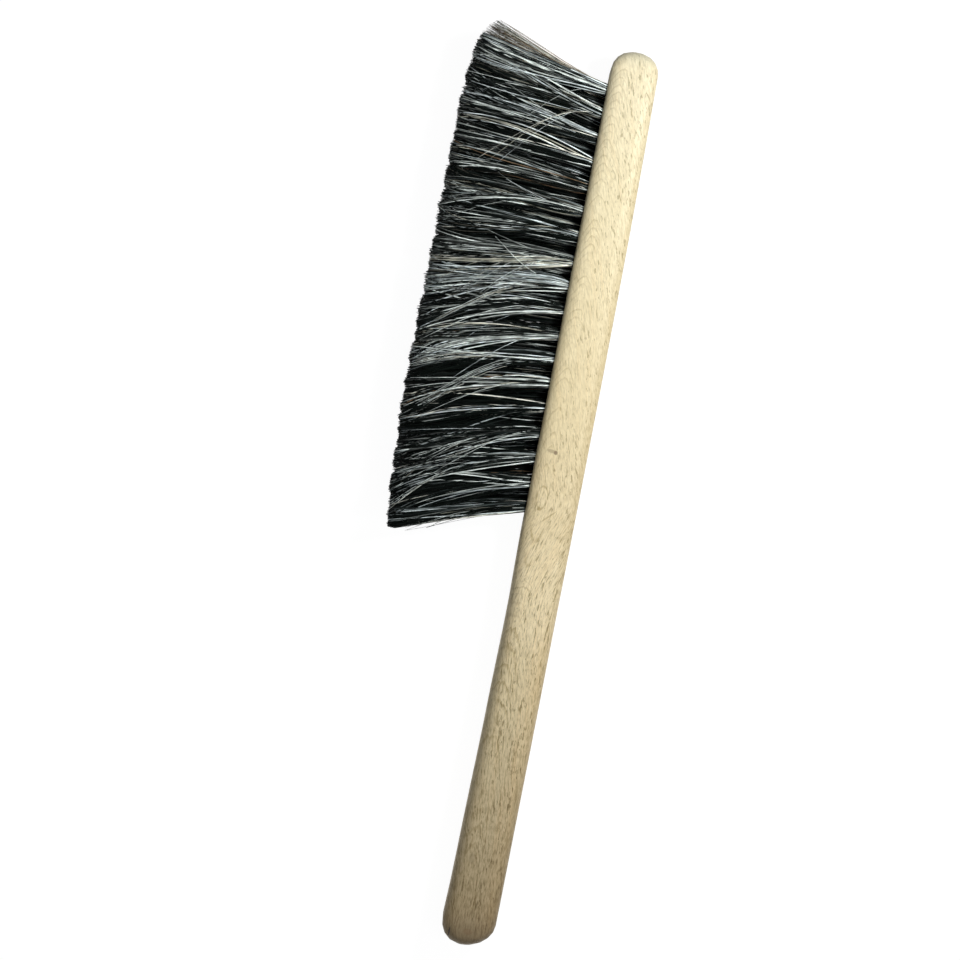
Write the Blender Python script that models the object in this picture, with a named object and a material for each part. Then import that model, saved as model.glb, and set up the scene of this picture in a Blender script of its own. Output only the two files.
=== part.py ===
"""Long-handled bench brush: a one-piece beech stock with three staggered rows of horsehair tufts.

The brush lies on its side. +Y runs along the stock towards its toe, the tufts point to -X, and +Z is up.
The origin is on the side face that the brush lies on, half way along the tuft field.

Each tuft is hair folded over a flat wire anchor and driven into a blind hole. Down in the hole the folded
hair is one packed plug. At the mouth the plug opens into locks, which fan out and are trimmed to one length.
"""

import math
import random

import bmesh
import bpy
from mathutils import Matrix, Vector

MM = 0.001

# Stock, along its length, from the toe to the butt.
TOE_MARGIN = 19.3 * MM  # toe tip to the first hole
TUFT_PITCH = 11.54 * MM
TUFTS_PER_ROW = 18
HEEL_MARGIN = 12.0 * MM  # last hole to the end of the block
HANDLE_LENGTH = 192.2 * MM

# Stock, across. Its height runs the way the hair points, and its thickness is that of the board.
BOARD_THICKNESS = 26.0 * MM
TOE_HEIGHT = 21.75 * MM
HEEL_HEIGHT = 23.6 * MM
NECK_RELIEF = 0.5 * MM  # how far the underside draws in just behind the block
BUTT_SWELL = 1.8 * MM  # how far the underside of the handle swells out at the butt
BUTT_DROP = 0.3 * MM  # how far the back falls away there
BLOCK_ROUND = 6.5 * MM  # rounded long edges: how far they reach over the side faces
BLOCK_ROUND_DEPTH = 3.5 * MM  # and down the drilled face and the back, clear of the holes
HANDLE_ROUND = 6.5 * MM
TOE_DOME = 9.5 * MM  # length of each rounded end
BUTT_DOME = 11.0 * MM
BUTT_SLANT_DEGREES = 6.0  # turn of the butt's nose, which is a little longer on the side with the hair
END_ROUND = 5.0 * MM  # how far the side faces roll over at the ends

# Tuft holes.
ROW_SPACING = 6.4 * MM
HOLE_DIAMETER = 6.2 * MM
HOLE_DEPTH = 14.0 * MM
DRILL_POINT = 1.5 * MM  # depth of the conical bottom
FAN_DEGREES = 12.2  # lean of the first and last holes, towards the ends of the block
CUTTER_OVERRUN = 2.0 * MM

# Flat wire anchors, one at the fold of each tuft.
ANCHOR_WIDTH = 7.0 * MM
ANCHOR_HEIGHT = 2.2 * MM
ANCHOR_THICKNESS = 0.5 * MM
ANCHOR_LIFT = 1.2 * MM  # hair between the anchor and the bottom of the hole

# Hair.
HAIR_LENGTH = 66.5 * MM  # from the face of the block to the trimmed ends
ROOT_PROUD = 0.4 * MM  # the plug stands this far out of its hole
SEAT_CLEARANCE = 0.3 * MM
TRIM_SCATTER = 0.8 * MM
TIP_SCATTER = 0.3 * MM
TIP_CLEARANCE = 0.4 * MM  # between neighbouring tufts at their ends, and to the plane of each side face
LOCK_TIP_RADIUS = 0.95 * MM

# Counts and shares.
ROW_NAMES = ("lower", "middle", "upper")
DRILL_SIDES = 12
PLUG_SIDES = 6
CORNER_STEPS = 4
DOME_STEPS = 5
BLOCK_STATIONS = 6
HANDLE_STATIONS = 12
FULLEST_ROUND_SHARE = 0.9  # of the half section, so that a short flat is left between two rounded edges
CORE_SHARE = 0.42  # radius of the ring where the outer locks meet, as a share of the plug's radius
MID_SPREAD_SHARE = 0.28  # share of a lock's sideways spread that it has at half its length
MID_WIDTH_SHARE = 0.86  # width of a lock at half its length, between root and tip
SHARP_DEGREES = 35
SEED = 7

# Outline of the handle, from block to butt: how far the underside and the back draw in at each station.
HANDLE_STATION_SHARES = (0.00, 0.19, 0.42, 0.80, 1.00)
UNDER_OFFSETS = (0.0, NECK_RELIEF, 0.0, -BUTT_SWELL / 2, -BUTT_SWELL)
BACK_OFFSETS = (0.0, 0.0, 0.0, BUTT_DROP / 2, BUTT_DROP)

FIELD_LENGTH = TUFT_PITCH * (TUFTS_PER_ROW - 1)
TOE_Y = FIELD_LENGTH / 2 + TOE_MARGIN
BLOCK_END_Y = -FIELD_LENGTH / 2 - HEEL_MARGIN
BUTT_Y = BLOCK_END_Y - HANDLE_LENGTH
FACE_X = -HEEL_HEIGHT / 2
MID_Z = BOARD_THICKNESS / 2
HOLE_RADIUS = HOLE_DIAMETER / 2
PLUG_RADIUS = HOLE_RADIUS * math.cos(math.pi / DRILL_SIDES) - SEAT_CLEARANCE
# From a tuft's axis to the middle of the triangle that an outer lock grows from.
LOCK_RADIUS = PLUG_RADIUS * (2 * math.cos(math.pi / PLUG_SIDES) + CORE_SHARE) / 3
ANCHOR_TURN = 1.5 * 2 * math.pi / PLUG_SIDES  # across the grain, square to one pair of the plug's flats
ANCHOR_Z = ANCHOR_LIFT + ANCHOR_HEIGHT / 2 - HOLE_DEPTH


def clear_scene():
    for thing in list(bpy.data.objects):
        bpy.data.objects.remove(thing, do_unlink=True)


def material(name, colour, roughness, metallic=0.0):
    made = bpy.data.materials.new(name)
    made.use_nodes = True
    shader = made.node_tree.nodes["Principled BSDF"]
    shader.inputs["Base Color"].default_value = (*colour, 1.0)
    shader.inputs["Roughness"].default_value = roughness
    shader.inputs["Metallic"].default_value = metallic
    made.diffuse_color = (*colour, 1.0)
    return made


def add_object(name, bm, finish=None):
    bmesh.ops.recalc_face_normals(bm, faces=bm.faces)
    mesh = bpy.data.meshes.new(name)
    bm.to_mesh(mesh)
    bm.free()
    made = bpy.data.objects.new(name, mesh)
    bpy.context.scene.collection.objects.link(made)
    if finish is None:
        made.hide_render = True
        made.display_type = "WIRE"
    else:
        mesh.materials.append(finish)
    return made


def loft(bm, rings):
    """Closed body through rings of points. The first and last rings become flat ends."""
    rows = [[bm.verts.new(point) for point in ring] for ring in rings]
    for first, second in zip(rows, rows[1:]):
        for i in range(len(first)):
            j = (i + 1) % len(first)
            bm.faces.new((first[i], first[j], second[j], second[i]))
    bm.faces.new(list(reversed(rows[0])))
    bm.faces.new(rows[-1])


def smooth(share):
    return share * share * (3 - 2 * share)


def ellipse(share):
    """Height of a quarter ellipse, from 0 at its end to 1 at its full width."""
    return math.sqrt(max(0.0, 1 - (1 - min(1.0, share)) ** 2))


def handle_offsets(share):
    """How far the underside and the back draw in, at this share of the handle's length."""
    after = next(i for i, station in enumerate(HANDLE_STATION_SHARES) if share <= station and i > 0)
    start, end = HANDLE_STATION_SHARES[after - 1], HANDLE_STATION_SHARES[after]
    blend = smooth((share - start) / (end - start))
    sides = (UNDER_OFFSETS, BACK_OFFSETS)
    return [side[after - 1] + (side[after] - side[after - 1]) * blend for side in sides]


def stock_sides(y):
    """X of the underside, X of the back, and the edge rounding's reach and depth, of the full section at y."""
    if y >= BLOCK_END_Y:
        share = (TOE_Y - y) / (TOE_Y - BLOCK_END_Y)
        height = HEEL_HEIGHT - (HEEL_HEIGHT - TOE_HEIGHT) * (1 - share) ** 3
        return FACE_X, FACE_X + height, BLOCK_ROUND, BLOCK_ROUND_DEPTH
    share = min(1.0, (BLOCK_END_Y - y) / HANDLE_LENGTH)
    under, back = handle_offsets(share)
    neck = smooth(min(1.0, share / HANDLE_STATION_SHARES[1]))
    reach = BLOCK_ROUND + (HANDLE_ROUND - BLOCK_ROUND) * neck
    depth = BLOCK_ROUND_DEPTH + (HANDLE_ROUND - BLOCK_ROUND_DEPTH) * neck
    return FACE_X + under, -FACE_X - back, reach, depth


def stock_ring(y, dome_share=1.0, from_end=None):
    """Rounded rectangle of the stock at y. Near an end it narrows with the dome."""
    under, back, reach, depth = stock_sides(y)
    half_height = (back - under) / 2 * dome_share
    roll = 0.0 if from_end is None else END_ROUND * (1 - ellipse(from_end / END_ROUND))
    half_thickness = MID_Z - roll
    reach = min(reach, half_height * FULLEST_ROUND_SHARE)
    depth = min(depth, half_thickness * FULLEST_ROUND_SHARE)
    ring = []
    for corner in range(4):
        turn = corner * math.pi / 2
        sign_x = 1 if corner in (0, 3) else -1
        sign_z = 1 if corner in (0, 1) else -1
        centre_x = (under + back) / 2 + sign_x * (half_height - reach)
        centre_z = MID_Z + sign_z * (half_thickness - depth)
        for step in range(CORNER_STEPS + 1):
            angle = turn + step / CORNER_STEPS * math.pi / 2
            x = centre_x + reach * math.cos(angle)
            z = centre_z + depth * math.sin(angle)
            ring.append(Vector((x, y, z)))
    return ring


def dome_rings(end_y, dome, inward, slant_degrees=0.0):
    """Sections of a rounded end, from its nose inwards. inward is 1 towards +Y and -1 towards -Y.

    The nose may slant, seen on the side face. The slant fades out over the dome.
    """
    rings = []
    slope = math.tan(math.radians(slant_degrees))
    nose = math.pi / 2 / DOME_STEPS  # the first section is a small flat nose
    for step in range(1, DOME_STEPS + 1):
        angle = step * nose
        from_end = dome * (1 - math.cos(angle) / math.cos(nose))
        ring = stock_ring(end_y + inward * from_end, math.sin(angle), from_end)
        for point in ring:
            point.y += point.x * slope * (1 - from_end / dome)
        rings.append(ring)
    return rings


def tuft_frames():
    """(name, matrix) of each hole. Local Z points out of the hole, and local X along the row, to the toe."""
    frames = []
    tuft_reach = LOCK_RADIUS * tip_scales()[1] + LOCK_TIP_RADIUS + TIP_SCATTER
    room = MID_Z - TIP_CLEARANCE - ROW_SPACING - tuft_reach
    splay = math.asin(max(0.0, room) / HAIR_LENGTH)
    for row, row_name in enumerate(ROW_NAMES):
        side = row - 1
        count = TUFTS_PER_ROW - (1 if side == 0 else 0)
        for i in range(count):
            y = TUFT_PITCH * ((count - 1) / 2 - i)
            lean = math.radians(FAN_DEGREES) * y / (FIELD_LENGTH / 2)
            along = Vector((math.sin(lean), math.cos(lean), 0))
            outward = Vector((-math.cos(lean), math.sin(lean), 0))
            turned = Matrix((along, -Vector((0, 0, 1)), outward)).transposed().to_4x4()
            place = Matrix.Translation((FACE_X, y, MID_Z + side * ROW_SPACING))
            matrix = place @ turned @ Matrix.Rotation(side * splay, 4, "X")
            frames.append((f"tuft_{row_name}_{i + 1:02d}", matrix))
    return frames


def tip_scales():
    """How much wider a tuft's locks stand at their ends than at the plug, along the row and across it."""
    lean_step = 2 * math.radians(FAN_DEGREES) / (TUFTS_PER_ROW - 1)
    tip_pitch = TUFT_PITCH + HAIR_LENGTH * math.sin(lean_step)
    side_room = MID_Z - TIP_CLEARANCE
    along = tip_pitch / 2 - TIP_CLEARANCE / 2 - LOCK_TIP_RADIUS - TIP_SCATTER
    across = side_room / len(ROW_NAMES) - TIP_CLEARANCE / 2 - LOCK_TIP_RADIUS - TIP_SCATTER
    return along / LOCK_RADIUS, across / LOCK_RADIUS


def polygon_ring(sides, radius, z, turn=0.0):
    angles = [turn + 2 * math.pi * i / sides for i in range(sides)]
    return [Vector((radius * math.cos(a), radius * math.sin(a), z)) for a in angles]


def drill(bm, matrix):
    """Cutter for one hole, with the cone that the drill's point leaves."""
    tip = Vector((0, 0, -HOLE_DEPTH - DRILL_POINT))
    top = polygon_ring(DRILL_SIDES, HOLE_RADIUS, CUTTER_OVERRUN)
    bottom = polygon_ring(DRILL_SIDES, HOLE_RADIUS, -HOLE_DEPTH)
    top, bottom = ([bm.verts.new(matrix @ p) for p in ring] for ring in (top, bottom))
    tip = bm.verts.new(matrix @ tip)
    bm.faces.new(top)
    for i in range(DRILL_SIDES):
        j = (i + 1) % DRILL_SIDES
        bm.faces.new((top[i], bottom[i], bottom[j], top[j]))
        bm.faces.new((bottom[i], tip, bottom[j]))


def anchor_slot(bm, matrix):
    """Cutter for the slot that one anchor's ends bite into the wood beside the hole."""
    size = Vector((ANCHOR_WIDTH, ANCHOR_THICKNESS, ANCHOR_HEIGHT))
    size += Vector((1, 1, 1)) * 2 * SEAT_CLEARANCE
    place = Matrix.Rotation(ANCHOR_TURN, 4, "Z") @ Matrix.Translation((0, 0, ANCHOR_Z))
    bmesh.ops.create_cube(bm, size=1, matrix=matrix @ place @ Matrix.Diagonal((*size, 1)))


def make_stock(finish, frames):
    bm = bmesh.new()
    rings = dome_rings(TOE_Y, TOE_DOME, -1)
    start, end = TOE_Y - TOE_DOME, BLOCK_END_Y
    for step in range(1, BLOCK_STATIONS + 1):
        rings.append(stock_ring(start + (end - start) * step / BLOCK_STATIONS))
    start, end = BLOCK_END_Y, BUTT_Y + BUTT_DOME
    for step in range(1, HANDLE_STATIONS):
        rings.append(stock_ring(start + (end - start) * step / HANDLE_STATIONS))
    rings += reversed(dome_rings(BUTT_Y, BUTT_DOME, 1, BUTT_SLANT_DEGREES))
    loft(bm, rings)
    stock = add_object("stock", bm, finish)
    for cutter_name, cut in (("tuft_drills", drill), ("anchor_slots", anchor_slot)):
        bm = bmesh.new()
        for _, matrix in frames:
            cut(bm, matrix)
        boolean = stock.modifiers.new(cutter_name, "BOOLEAN")
        boolean.operation = "DIFFERENCE"
        boolean.object = add_object(cutter_name, bm)
    stock.data.shade_smooth()
    stock.data.set_sharp_from_angle(angle=math.radians(SHARP_DEGREES))
    return stock


def anchor_end(bm, flat, outward):
    """Draws one end of the anchor out of a flat of the plug: inset a panel, shape it, extrude it."""
    bmesh.ops.inset_individual(bm, faces=[flat], thickness=ANCHOR_THICKNESS / 4)
    sideways = Vector((-outward.y, outward.x, 0))
    middle = sum((v.co for v in flat.verts), Vector()) / 4
    for vert in flat.verts:
        side = math.copysign(ANCHOR_THICKNESS / 2, (vert.co - middle).dot(sideways))
        up = math.copysign(ANCHOR_HEIGHT / 2, vert.co.z - middle.z)
        radius = middle.dot(outward)
        vert.co = outward * radius + sideways * side + Vector((0, 0, ANCHOR_Z + up))
    drawn = bmesh.ops.extrude_discrete_faces(bm, faces=[flat])["faces"][0]
    for vert in drawn.verts:
        vert.co += outward * (ANCHOR_WIDTH / 2 - middle.dot(outward))


def lock(bm, root, scales, rng):
    """One lock of hair: drawn from its root polygon to half length and on to its trimmed end."""
    centre = sum((v.co for v in root), Vector()) / len(root)
    width = max((v.co - centre).length for v in root)
    scatter = Vector((rng.uniform(-1, 1), rng.uniform(-1, 1), 0)) * TIP_SCATTER
    tip = Vector((centre.x * scales[0], centre.y * scales[1], HAIR_LENGTH)) + scatter
    tip.z -= rng.uniform(0, 1) * TRIM_SCATTER
    tip_width_share = LOCK_TIP_RADIUS / width
    mid = centre.lerp(tip, 0.5)
    spread = (tip - centre) * MID_SPREAD_SHARE
    mid.x, mid.y = centre.x + spread.x, centre.y + spread.y
    mid_width_share = (1 + tip_width_share) / 2 * MID_WIDTH_SHARE
    last = root
    for place, share in ((mid, mid_width_share), (tip, tip_width_share)):
        ring = [bm.verts.new(place + (v.co - centre) * share) for v in root]
        for i in range(len(ring)):
            j = (i + 1) % len(ring)
            bm.faces.new((last[i], last[j], ring[j], ring[i]))
        last = ring
    bm.faces.new(last)


def make_tuft(name, matrix, finish, rng):
    """Packed plug, the anchor's two ends, and a ring of three-sided locks round one four-sided lock."""
    bm = bmesh.new()
    sides = range(PLUG_SIDES)
    half_step = math.pi / PLUG_SIDES
    rim = [bm.verts.new(p) for p in polygon_ring(PLUG_SIDES, PLUG_RADIUS, ROOT_PROUD)]
    core_radius = PLUG_RADIUS * CORE_SHARE
    core = [bm.verts.new(p) for p in polygon_ring(PLUG_SIDES, core_radius, ROOT_PROUD, half_step)]
    floor_z = SEAT_CLEARANCE - HOLE_DEPTH
    foot = [bm.verts.new(p) for p in polygon_ring(PLUG_SIDES, PLUG_RADIUS, floor_z)]
    fold = bm.verts.new((0, 0, floor_z - DRILL_POINT))
    flats = []
    for i in sides:
        j = (i + 1) % PLUG_SIDES
        flats.append(bm.faces.new((foot[i], foot[j], rim[j], rim[i])))
        bm.faces.new((foot[j], foot[i], fold))
        bm.faces.new((rim[j], core[j], core[i]))
        if i % 2 == 0:
            bm.faces.new((core[i], core[j], core[(i + 2) % PLUG_SIDES]))
    scales = tip_scales()
    for i in sides:
        lock(bm, [rim[i], rim[(i + 1) % PLUG_SIDES], core[i]], scales, rng)
    lock(bm, core[::2], scales, rng)
    bmesh.ops.recalc_face_normals(bm, faces=bm.faces)
    outward = Vector((math.cos(ANCHOR_TURN), math.sin(ANCHOR_TURN), 0))
    anchor_end(bm, flats[1], outward)
    anchor_end(bm, flats[1 + PLUG_SIDES // 2], -outward)
    tuft = add_object(name, bm, finish)
    tuft.matrix_world = matrix
    return tuft


def main():
    clear_scene()
    rng = random.Random(SEED)
    beech = material("beech", (0.80, 0.68, 0.47), 0.55)
    hair = material("horsehair", (0.045, 0.047, 0.046), 0.42)
    frames = tuft_frames()
    make_stock(beech, frames)
    for name, matrix in frames:
        make_tuft(name, matrix, hair, rng)


main()
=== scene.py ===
"""Looks of the cleaning brush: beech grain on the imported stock, and horsehair strand by strand.

Each row of tufts becomes one mesh of fine tubes. A strand starts down in its hole, follows the hole's axis
out of the block, and bends to its own place on the trimmed ends. x runs across the stock from the hair to the
back, y along it to the toe, and z up. Lengths are in metres, and in the materials in millimetres.
"""

import math
from collections import namedtuple

import bpy
import numpy as np
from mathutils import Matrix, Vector


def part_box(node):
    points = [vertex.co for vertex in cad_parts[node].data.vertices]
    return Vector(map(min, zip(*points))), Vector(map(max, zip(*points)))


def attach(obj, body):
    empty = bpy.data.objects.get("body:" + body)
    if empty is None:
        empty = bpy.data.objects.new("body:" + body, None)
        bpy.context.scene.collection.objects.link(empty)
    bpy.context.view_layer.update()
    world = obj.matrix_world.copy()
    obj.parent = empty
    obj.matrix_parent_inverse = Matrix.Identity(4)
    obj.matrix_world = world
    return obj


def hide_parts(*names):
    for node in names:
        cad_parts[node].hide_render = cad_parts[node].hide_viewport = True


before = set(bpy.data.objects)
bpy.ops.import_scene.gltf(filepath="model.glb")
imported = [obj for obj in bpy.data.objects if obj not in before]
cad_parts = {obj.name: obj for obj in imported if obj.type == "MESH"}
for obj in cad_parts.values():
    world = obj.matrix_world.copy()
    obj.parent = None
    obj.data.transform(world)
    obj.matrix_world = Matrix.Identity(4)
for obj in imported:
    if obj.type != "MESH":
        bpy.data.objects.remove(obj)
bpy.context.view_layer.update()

MM = 0.001
SEED = 41
UP = np.array([0.0, 0.0, 1.0])

# The block and its tufts, as in the CAD.
TUFT_PITCH = 11.54 * MM
TUFTS_PER_ROW = 18
ROW_SPACING = 6.4 * MM
ROW_NAMES = ("lower", "middle", "upper")
FAN = math.radians(12.2)  # lean of the first and the last tuft towards the ends of the block
ROW_LEAN = 0.032  # rise or fall of an outer row's tufts on their way out
BUNDLE_RADIUS = 2.55 * MM
BUTT_SWELL = 1.8 * MM  # how far the underside of the butt stands past the face of the block
HALF_FIELD = TUFT_PITCH * (TUFTS_PER_ROW - 1) / 2
STOCK_LOW, STOCK_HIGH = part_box("stock")
FACE_X = STOCK_LOW.x + BUTT_SWELL
THICKNESS = STOCK_HIGH.z
MID_Z = THICKNESS / 2

# Where the hair of an outer row ends, along the block: a tuft's own place, and how far its ends sweep.
SWEEP_AT = np.array([-102.5, -68.0, -12.6, 38.0, 70.0, 103.0]) * MM
SWEEP = np.array([-17.0, -17.5, -13.8, 0.0, 7.5, 12.5]) * MM
MIDDLE_SWEEP = 0.6  # share of that in the middle row, which for the rest goes straight on
HAIR_LENGTH = 66.0 * MM
# Reach of the trimmed ends from the face of the block, along the block.
TRIM_AT = np.array([-121.0, -119.0, -105.0, -59.0, 82.0, 101.0, 114.0, 120.0]) * MM
TRIM = np.array([57.5, 61.0, 63.4, 65.9, 65.9, 64.6, 61.8, 57.0]) * MM
END_HEEL, END_TOE = -119.6 * MM, 112.8 * MM
TIP_LAYER = 8.2 * MM  # from one row's ends to the next, across the block
ROOT_DEPTH = 3.0 * MM

# Heights of the strands next to the floor and at the upper side.
SIDE_MARGIN = 0.7 * MM
FLOOR_SCATTER = 1.6 * MM
UPPER_PROUD = 0.4 * MM
UPPER_SCATTER, UPPER_LOWEST = 0.7 * MM, 3.0 * MM

# A tuft's clumps.
CLUMP_OUT = (0.15, 0.9)  # least and most share of the bundle's area inside a clump's root
OPEN_ALONG, OPEN_ACROSS = 1.7, 1.3  # how far the clumps open out, from roots to ends
GATHER_SPREAD, GATHER_LIFT = 2.7 * MM, 1.0 * MM  # of a clump's ends, along and across the block
SWAY = 2.0 * MM  # of a clump's bends
SWAY_LAG = 2.2  # how far the ends of a swaying clump of the dress go to the heel
LAG_AT, LAG_SHARE = (-0.06, 0.03), (1.0, 0.2)
BRIGHT_AT, BRIGHT_SHARE = (-0.10, -0.05, 0.02, 0.07, 0.10), (0.53, 0.74, 1.17, 1.03, 1.00)
BRIGHT_INSIDE, MOST_BRIGHT = 0.90, 0.9

# A clump's strands.
ROOT_SPREAD = 0.75 * MM  # round their clump's root
SKIN_SPREAD, SKIN_WIDTH = 0.5 * MM, 0.85  # roots of the dress, on the outer side of the bundle
END_SPREAD, END_LIFT = 1.5 * MM, 0.9 * MM
SKIN_DEPTH, SKIN_SCATTER = 0.9 * MM, 1.1 * MM  # ends of the dress, from the side of the hair
HEEL_SCATTER, TOE_SCATTER = 0.8 * MM, 1.2 * MM  # of the outermost ends
CUT_SPREAD, CUT_SHORT = 0.30 * MM, 0.9 * MM
NEAR_AT, MID_AT = 0.33, 0.68  # places of a strand's two bends, as shares of its length
NEAR_SWING, MID_SWING, STRAND_SWAY = 0.7, 1.5, 0.7 * MM
BEND_SPREAD, MID_LIFT = 0.5 * MM, 0.8 * MM
MOST_BULGE = 0.4 * MM  # of the first and the last tuft, past a straight line

# Least and most radius of a strand, in millimetres.
BRIGHT_RADIUS, BLACK_RADIUS = (0.18, 0.31), (0.14, 0.23)
FLARE_RADIUS, STRAY_RADIUS = (0.07, 0.11), (0.09, 0.16)

# The layers of a row: bulk fills the tufts and dress lies outermost. bright is the share of strands that
# aren't black, wander and stout widen the gathering and the strands, and shades are chances of the shades.
Layer = namedtuple("Layer", "clumps bright wander stout shades")
BULK = Layer(clumps=8, bright=0.24, wander=1.0, stout=1.0, shades=(0.22, 0.26, 0.28, 0.24))
DRESS = Layer(clumps=5, bright=0.44, wander=1.5, stout=1.32, shades=(0.12, 0.20, 0.30, 0.38))

# The loose hair past the first tuft and past the last one. families are chances of neutral, warm and brown.
Flare = namedtuple("Flare", "tuft away many pale bulge families shades")
TOE_FLARE = Flare(tuft=0, away=1, many=88, pale=0.92, bulge=0.6 * MM,
                  families=(0.12, 0.43, 0.45), shades=(0.02, 0.16, 0.42, 0.40))
HEEL_FLARE = Flare(tuft=-1, away=-1, many=7, pale=0.25, bulge=0.0,
                   families=(0.25, 0.50, 0.25), shades=(0.3, 0.4, 0.3, 0.0))
# In millimetres: where its ends begin, how far they fan, and how far a hair 1 mm short of the trim draws in.
TOE_FROM, TOE_FAN, TOE_SLANT = 112.5, 9.0, 0.35
HEEL_FROM, HEEL_FAN = 2.0, 2.3  # from END_HEEL
FLARE_NEAR, FLARE_SPLAY, FLARE_LIFT = 17.0, 2.2, 3.2  # first bend, its splay, and the ends' scatter in height
FLARE_STEPS = 8

# Stray hairs: sheaves, and single ones.
STRAY_SHEAVES, STRAY_SINGLES, STRAY_STEPS = 9, 26, 12
SHEAF_SIZES = (3, 8)  # least, and one more than the most
# Least, most and spread within a sheaf, in millimetres. The bend is a share of the reach.
STRAY_REACH, STRAY_TO_TOE, STRAY_TO_HEEL = (38.0, 64.0, 2.5), (5.0, 18.0, 1.5), (12.0, 34.0, 1.2)
STRAY_BEND = (0.34, 0.62, 0.02)  # where a hair leaves the others
STRAY_FAMILIES = (0.6, 0.2, 0.2)  # chances of neutral, cool and warm
STRAY_SHADES, STRAY_CHANCES = (1, 2, 3), (0.15, 0.35, 0.5)

# Colours of the hair: the families, each with its shades from dark to pale.
PALETTE_SHADES = 4
PALETTE = {
    "black": ((0.0015, 0.003, 0.0022), (0.003, 0.0055, 0.0043), (0.006, 0.0092, 0.0078),
              (0.013, 0.018, 0.0165)),
    "neutral": ((0.052, 0.058, 0.054), (0.19, 0.21, 0.197), (0.50, 0.55, 0.515), (0.87, 0.95, 0.90)),
    "cool": ((0.045, 0.056, 0.055), (0.17, 0.20, 0.198), (0.46, 0.525, 0.525), (0.83, 0.925, 0.925)),
    "warm": ((0.058, 0.058, 0.048), (0.21, 0.21, 0.17), (0.54, 0.54, 0.445), (0.90, 0.91, 0.80)),
    "brown": ((0.06, 0.04, 0.025), (0.13, 0.085, 0.05), (0.26, 0.18, 0.11), (0.46, 0.37, 0.26)),
}
BLACK, NEUTRAL, COOL, WARM, BROWN = range(len(PALETTE))
CLASSES = len(PALETTE) * PALETTE_SHADES
VARIANTS = 12  # ways in which the painted sheen and the tone drift along a strand, in each class
BLACK_SHADES = (0.36, 0.34, 0.20, 0.10)
# Chances of neutral, cool, warm and brown: for a clump, and for the strands that differ from their clump.
CLUMP_FAMILIES, STRAND_FAMILIES = (0.60, 0.235, 0.16, 0.005), (0.40, 0.26, 0.28, 0.06)
LIKE_CLUMP = 0.75
COOL_TUFTS, COOL_CLUMPS, COOL_BRIGHT = [8], 2, 0.68  # the palest, of the outer rows
HAIR_ROUGHNESS, HAIR_SPECULAR = 0.40, 0.06
SIDES = 3  # of a strand
TIP_TAPER = 0.25

# Grain of the beech, in millimetres. A scale stretches noise across, along and through the board.
PITH_X, PITH_Z = -5.8, (21.0, 23.0)  # z in the handle and in the block
RINGS_PER_MM = 0.80
RING_RISE = 0.15  # slant of the rings along the stock, which makes arches of them on the face
NECK_Y, NECK_REACH, NECK_RISE = -118.0, 15.0, 6.0
BLOCK_Y, BLOCK_REACH, BLOCK_RISE = -50.0, 30.0, 0.19
FIBRE_LEAN = 0.10
NECK_LEANS, LEAN_REACH = ((-136.0, -0.48), (-97.0, 0.66)), 9.0  # where the lean changes, and by how much
WARP_SCALE, WARP = (0.05, 0.022, 0.05), 5.0  # slow bends of the grain
WOBBLE_SCALE, WOBBLE = (0.5, 0.12, 0.5), 0.9  # unsteadiness of the rings
FADE_SCALE = (0.9, 0.09, 0.1)  # where a ring's line fades
CHAIN_SCALE, CHAIN = (0.45, 0.015, 0.1), 0.24  # lines in which the dashes crowd together
FIBRE_SCALE = (1.6, 0.27, 1.0)
VEIN_SCALE = (1.25, 0.045, 0.5)
STREAK_SCALE = (0.42, 0.02, 0.2)
DASH_EDGE = 0.06
BEECH_SPECULAR = 0.30
GRAIN_BUMP, GRAIN_DEPTH = 0.6, 0.10 * MM

# Colours of the beech, and the tints that its features multiply it by.
TOE_COLOUR, HEEL_COLOUR, HANDLE_COLOUR = (0.87, 0.775, 0.53), (0.875, 0.737, 0.458), (0.44, 0.33, 0.178)
# The nose colour is painted shade on the toe's rounded end, where it curves away from the light.
NOSE_SHADE_COLOUR, BUTT_END_COLOUR, SPLIT_SHADE_COLOUR = (0.58, 0.60, 0.46), (0.24, 0.18, 0.105), (0.04, 0.03, 0.02)
RING_SHARE = 0.75
TINTS = {
    "mottle": (0.84, 0.81, 0.75),
    "dark fibre": (0.60, 0.58, 0.52),
    "pale fibre": (1.13, 1.15, 1.21),
    "speckle": (0.60, 0.58, 0.52),
    "ring": (0.58, 0.53, 0.40),
    "vein": (0.62, 0.58, 0.48),
    "streak": (1.03, 0.985, 0.93),
    "fleck": (0.42, 0.39, 0.30),
    "block": (0.957, 0.957, 0.93),
    "neck": (1.09, 1.10, 1.13),
    "butt": (0.90, 0.88, 0.87),
    "back of the handle": (1.015, 0.985, 0.955),
    # Painted shade on the rounded back edge.
    "painted shade on the back edge": (0.57, 0.54, 0.48),
    # Painted shade on the rounded edge next to the hair, which faces away from the light.
    "painted shade beside the hair": (0.55, 0.55, 0.50),
}

# Marks of use on the upper face: centre, reach, turn in degrees, share and colour.
MARKS = (
    ((-4.9, -71.0), (2.9, 1.0), -8.0, 0.62, (0.40, 0.32, 0.19)),  # a dent
    ((-3.1, -71.4), (1.1, 1.2), 0.0, 0.78, (0.22, 0.16, 0.09)),  # its dark end
    ((-5.5, -262.0), (1.6, 3.2), 0.0, 0.35, (0.26, 0.20, 0.11)),  # a stain
    ((-0.9, -295.6), (2.6, 1.8), 0.0, 0.40, (0.26, 0.155, 0.075)),  # a rubbed spot
)
SPLIT_CENTRE, SPLIT_REACH, SPLIT_SHARE = (-9.3, -297.2), (0.45, 3.0), 0.90


# Nodes.


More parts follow.
